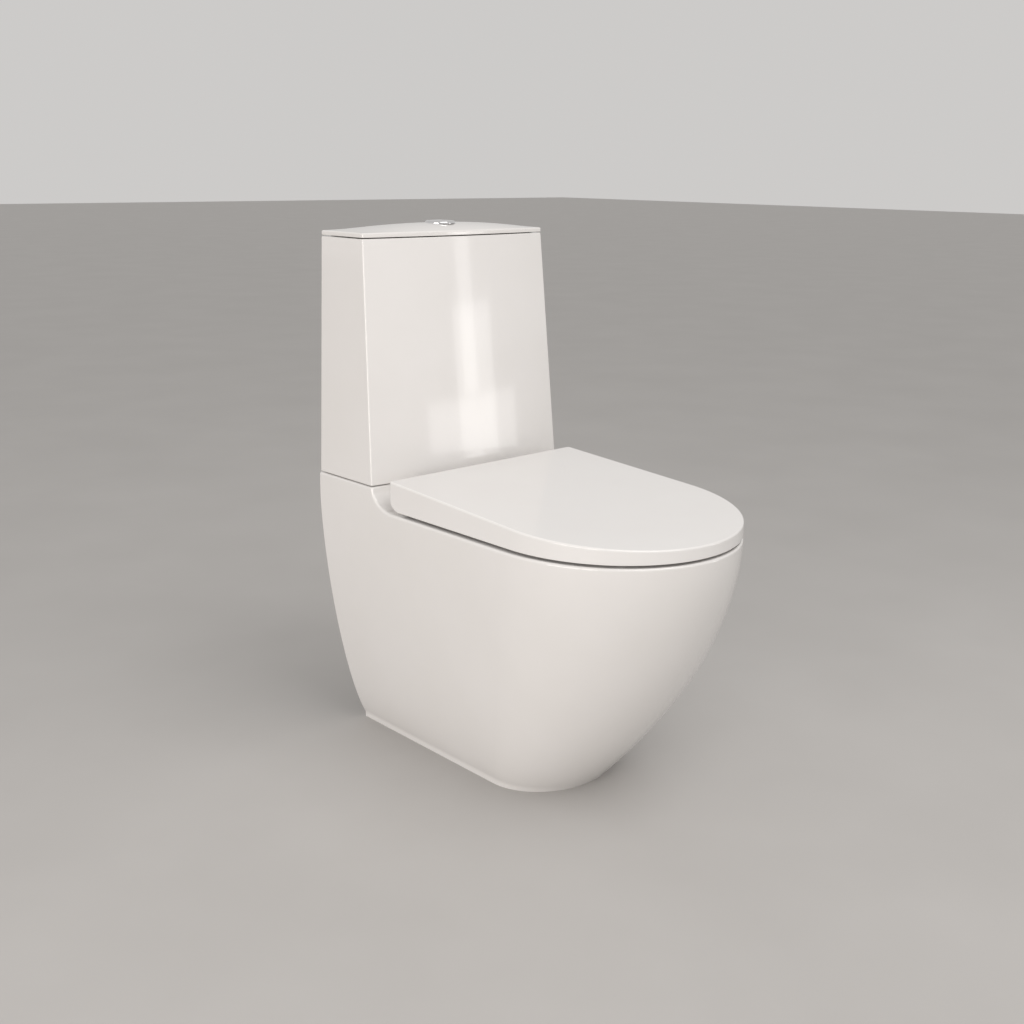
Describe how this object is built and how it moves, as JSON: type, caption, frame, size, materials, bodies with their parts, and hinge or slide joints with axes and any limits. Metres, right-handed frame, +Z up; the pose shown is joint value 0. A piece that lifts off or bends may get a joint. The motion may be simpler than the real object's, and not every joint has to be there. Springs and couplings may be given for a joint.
{
  "type": "close coupled toilet",
  "caption": "Skirted back-to-wall close coupled toilet with a crowned cistern lid, push-button dual flush and a wrap-over soft-close seat.",
  "frame": {"origin": "on the floor under the middle of the object's box: half way between the wall plane and the front of the rim, on the middle line", "axes": "+Z up, +Y towards the wall that the toilet stands against, so the front faces -Y; +X to the right of someone looking at the toilet from the front"},
  "size_m": [0.376, 0.6149, 0.8005],
  "materials": {
    "china": "glossy white glaze",
    "seat_plastic": "glossy white moulding",
    "chrome": "polished",
    "white_plastic": "satin",
    "blue_plastic": "satin",
    "black_rubber": "matt",
    "clear_rubber": "matt",
    "steel": "zinc plated"
  },
  "bodies": {
    "body": {"pan": "china", "cistern": "china", "doughnut_washer": "black_rubber", "coupling_bolts": "steel", "coupling_seals": "black_rubber", "coupling_washers": "steel", "coupling_wing_nuts": "steel", "left_hinge_post": "chrome", "right_hinge_post": "chrome", "left_hinge_pin": "steel", "right_hinge_pin": "steel", "hinge_pads": "clear_rubber", "hinge_studs": "steel", "hinge_fixing_washers": "black_rubber", "hinge_wing_nuts": "white_plastic", "flush_valve_base": "white_plastic", "flush_valve_washer": "black_rubber", "flush_valve_nut": "white_plastic", "flush_valve_cage": "blue_plastic", "flush_valve_head": "white_plastic", "flush_lever_pins": "steel", "fill_valve_stem": "white_plastic", "fill_valve_washer": "black_rubber", "fill_valve_nut": "white_plastic", "fill_valve_head": "white_plastic", "float_lever_pin": "steel"},
    "cover": {"seat_cover": "seat_plastic", "cover_buffers": "clear_rubber", "cover_damper": "white_plastic"},
    "ring": {"seat_ring": "seat_plastic", "ring_buffers": "clear_rubber", "ring_damper": "white_plastic"},
    "lid": {"cistern_lid": "china", "button_bezel": "chrome", "button_guide": "white_plastic", "button_nut": "white_plastic", "half_button_spring": "steel", "full_button_spring": "steel"},
    "half_button": {"half_flush_button": "chrome", "half_push_rod": "white_plastic"},
    "full_button": {"full_flush_button": "chrome", "full_push_rod": "white_plastic"},
    "flush_valve": {"overflow_tube": "white_plastic", "flush_seal": "black_rubber"},
    "half_lever": {"half_flush_lever": "white_plastic"},
    "full_lever": {"full_flush_lever": "white_plastic"},
    "float": {"fill_float": "white_plastic", "float_rod": "steel"},
    "float_arm": {"float_lever": "white_plastic"}
  },
  "joints": [
    {"name": "cover_hinge", "type": "hinge", "parent": "body", "child": "cover", "pos_m": [0, 0.1245, 0.42], "axis": [-1, 0, 0], "range_deg": [0, 98]},
    {"name": "ring_hinge", "type": "hinge", "parent": "body", "child": "ring", "pos_m": [0, 0.1245, 0.42], "axis": [-1, 0, 0], "range_deg": [0, 93]},
    {"name": "lid_lift", "type": "slide", "parent": "body", "child": "lid", "axis": [0, 0, 1], "range_m": [0, 0.25]},
    {"name": "half_flush_press", "type": "slide", "parent": "lid", "child": "half_button", "axis": [0, 0, -1], "range_m": [0, 0.006], "stiffness_N_per_m": 300, "springref_m": -0.01, "deforming": ["half_button_spring"]},
    {"name": "full_flush_press", "type": "slide", "parent": "lid", "child": "full_button", "axis": [0, 0, -1], "range_m": [0, 0.006], "stiffness_N_per_m": 300, "springref_m": -0.01, "deforming": ["full_button_spring"]},
    {"name": "flush_valve_lift", "type": "slide", "parent": "body", "child": "flush_valve", "axis": [0, 0, 1], "range_m": [0, 0.0162]},
    {"name": "half_lever_tilt", "type": "hinge", "parent": "body", "child": "half_lever", "pos_m": [-0.027, 0.2455, 0.684], "axis": [0, 1, 0], "range_deg": [0, 20]},
    {"name": "full_lever_tilt", "type": "hinge", "parent": "body", "child": "full_lever", "pos_m": [0.027, 0.2455, 0.684], "axis": [0, -1, 0], "range_deg": [0, 20]},
    {"name": "float_rise", "type": "slide", "parent": "body", "child": "float", "axis": [0, 0, 1], "range_m": [0, 0.014]},
    {"name": "float_lever_tilt", "type": "hinge", "parent": "body", "child": "float_arm", "pos_m": [0.115, 0.2415, 0.725], "axis": [0, -1, 0], "range_deg": [0, 21]}
  ],
  "couplings": [
    {"joint": "ring_hinge", "follows": "cover_hinge", "ratio": 0.94},
    {"joint": "half_lever_tilt", "follows": "half_flush_press", "rad_per_m": 57},
    {"joint": "full_lever_tilt", "follows": "full_flush_press", "rad_per_m": 57},
    {"joint": "flush_valve_lift", "follows": "full_flush_press", "ratio": 2.6667},
    {"joint": "float_lever_tilt", "follows": "float_rise", "rad_per_m": 25.5}
  ]
}
